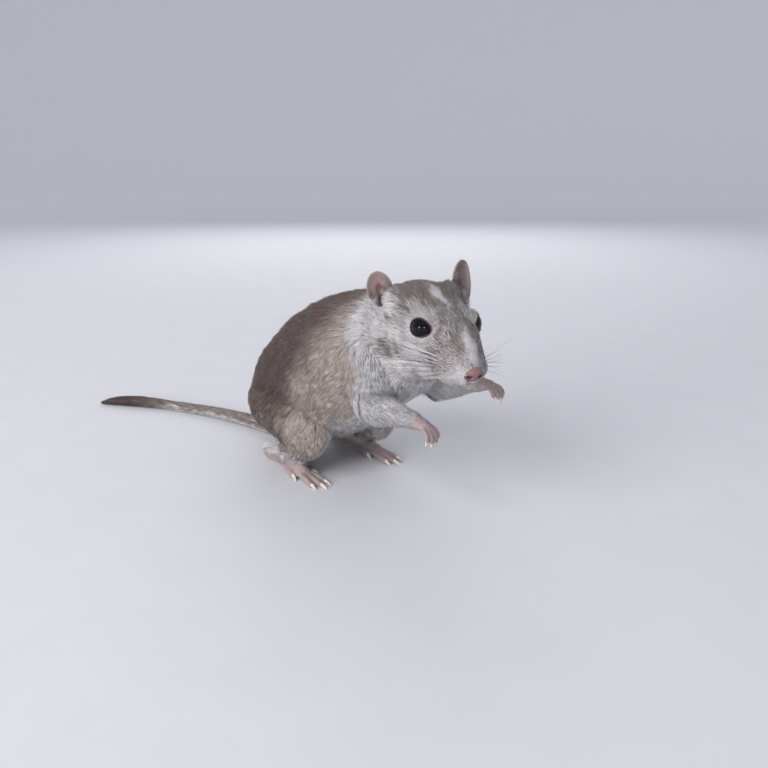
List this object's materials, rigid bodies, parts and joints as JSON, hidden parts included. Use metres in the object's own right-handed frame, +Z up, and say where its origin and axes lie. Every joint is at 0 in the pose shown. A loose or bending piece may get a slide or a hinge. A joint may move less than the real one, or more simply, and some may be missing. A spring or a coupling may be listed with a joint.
{
  "type": "gerbil model",
  "caption": "Life-size still model of a gerbil sitting half upright on its hind feet, head turned, forepaws held out in front, tail laid out behind.",
  "frame": {"origin": "on the floor under the middle of the whole animal's box", "axes": "+X the way the body points, +Y the animal's left, +Z up"},
  "size_m": [0.1832, 0.062, 0.0723],
  "materials": {
    "eye_gloss": "near-black wet gloss of the eyes",
    "ear_skin": "thin skin of the ears with very short hair",
    "paw_skin": "pale pink skin of the forepaws with sparse white hair, light claws",
    "foot_skin": "pale pink skin of the hind feet with sparse white hair, light claws",
    "white_fur": "white coat, matte",
    "brown_fur": "grey-brown ticked coat, matte"
  },
  "bodies": {
    "root": {"ear_left": "ear_skin", "ear_right": "ear_skin", "eye_left": "eye_gloss", "eye_right": "eye_gloss", "forearm_left": "white_fur", "forearm_right": "white_fur", "forepaw_left": "paw_skin", "forepaw_right": "paw_skin", "head": "brown_fur", "hind_foot_left": "foot_skin", "hind_foot_right": "foot_skin", "neck": "white_fur", "rump": "brown_fur", "tail_base": "brown_fur", "tail_middle": "brown_fur", "tail_tip": "brown_fur", "thigh_left": "brown_fur", "thigh_right": "brown_fur", "torso": "brown_fur", "upper_arm_left": "white_fur", "upper_arm_right": "white_fur"}
  },
  "joints": []
}
